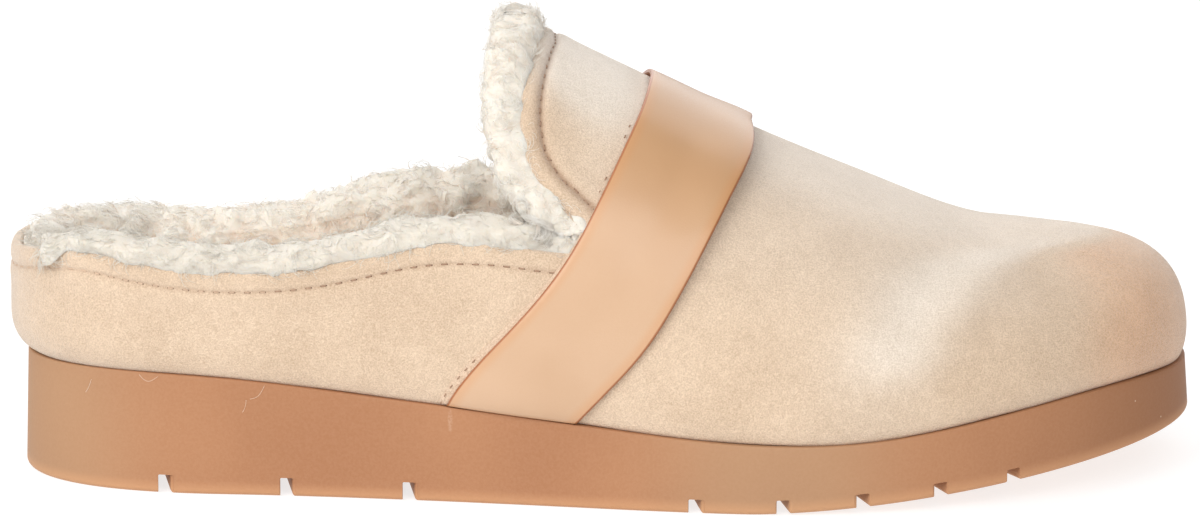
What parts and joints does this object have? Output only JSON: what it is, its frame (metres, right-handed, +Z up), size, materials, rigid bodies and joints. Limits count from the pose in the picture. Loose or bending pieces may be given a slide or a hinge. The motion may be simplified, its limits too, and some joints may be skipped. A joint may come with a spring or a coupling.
{
  "type": "mule slipper",
  "caption": "Backless clog slipper with a low heel wall, suede upper, curly fleece lining, leather instep strap and grooved rubber platform sole.",
  "frame": {"origin": "on the floor under the middle of the shoe's bounding box", "axes": "+X from heel to toe, +Y to the inner side of the right foot, +Z up"},
  "size_m": [0.2638, 0.0978, 0.1014],
  "materials": {
    "gum_rubber": "satin moulded gum rubber",
    "insole_fleece": "short curled pile",
    "suede": "brushed suede",
    "fleece": "long curled pile",
    "strap_leather": "smooth leather with burnished edges"
  },
  "bodies": {
    "root": {"outsole": "gum_rubber", "insole": "insole_fleece", "upper": "suede", "fleece_lining": "fleece", "instep_strap": "strap_leather"}
  },
  "joints": []
}
